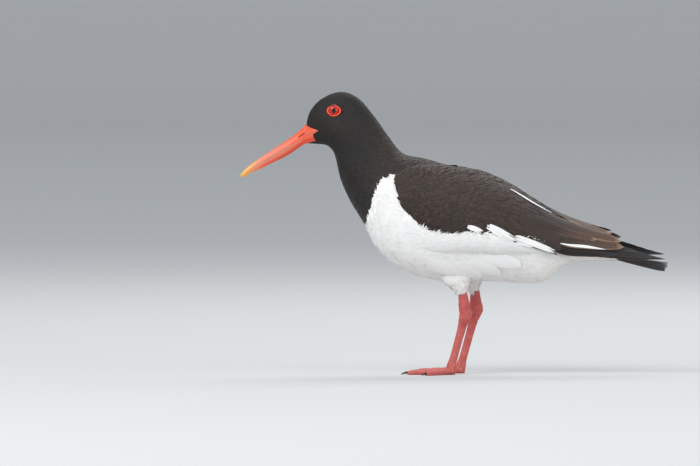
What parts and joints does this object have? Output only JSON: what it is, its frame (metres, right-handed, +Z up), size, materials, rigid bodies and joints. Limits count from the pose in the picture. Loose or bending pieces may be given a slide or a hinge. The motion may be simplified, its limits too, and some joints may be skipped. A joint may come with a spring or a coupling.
{
  "type": "oystercatcher",
  "caption": "Life-size still model of a standing wader with black and white plumage, a long blade-like orange bill and bare reddish legs.",
  "frame": {"origin": "on the floor, under the middle of the bird's box", "axes": "+Z up, +X from the bill's tip towards the tail, +Y towards the bird's right side; the bird faces -X"},
  "size_m": [0.4108, 0.1036, 0.2707],
  "materials": {
    "black_plumage": "soft black-brown feathers",
    "white_plumage": "soft white feathers",
    "bill": "smooth orange-red horn, yellow at the tip",
    "eye_ring": "bare orange skin",
    "eye": "wet, polished red with a black pupil",
    "leg": "scaly pinkish-red skin",
    "claw": "dark horn"
  },
  "bodies": {
    "root": {"bill_lower": "bill", "bill_upper": "bill", "claw_left_inner": "claw", "claw_left_middle": "claw", "claw_left_outer": "claw", "claw_right_inner": "claw", "claw_right_middle": "claw", "claw_right_outer": "claw", "eye_left": "eye", "eye_right": "eye", "eye_ring_left": "eye_ring", "eye_ring_right": "eye_ring", "foot_left": "leg", "foot_right": "leg", "head": "black_plumage", "neck": "black_plumage", "primaries_left": "black_plumage", "primaries_right": "black_plumage", "rump": "white_plumage", "shin_left": "leg", "shin_right": "leg", "tail": "black_plumage", "tarsus_left": "leg", "tarsus_right": "leg", "thigh_left": "white_plumage", "thigh_right": "white_plumage", "toe_left_inner": "leg", "toe_left_middle": "leg", "toe_left_outer": "leg", "toe_right_inner": "leg", "toe_right_middle": "leg", "toe_right_outer": "leg", "torso": "white_plumage", "wing_left": "black_plumage", "wing_right": "black_plumage"}
  },
  "joints": []
}
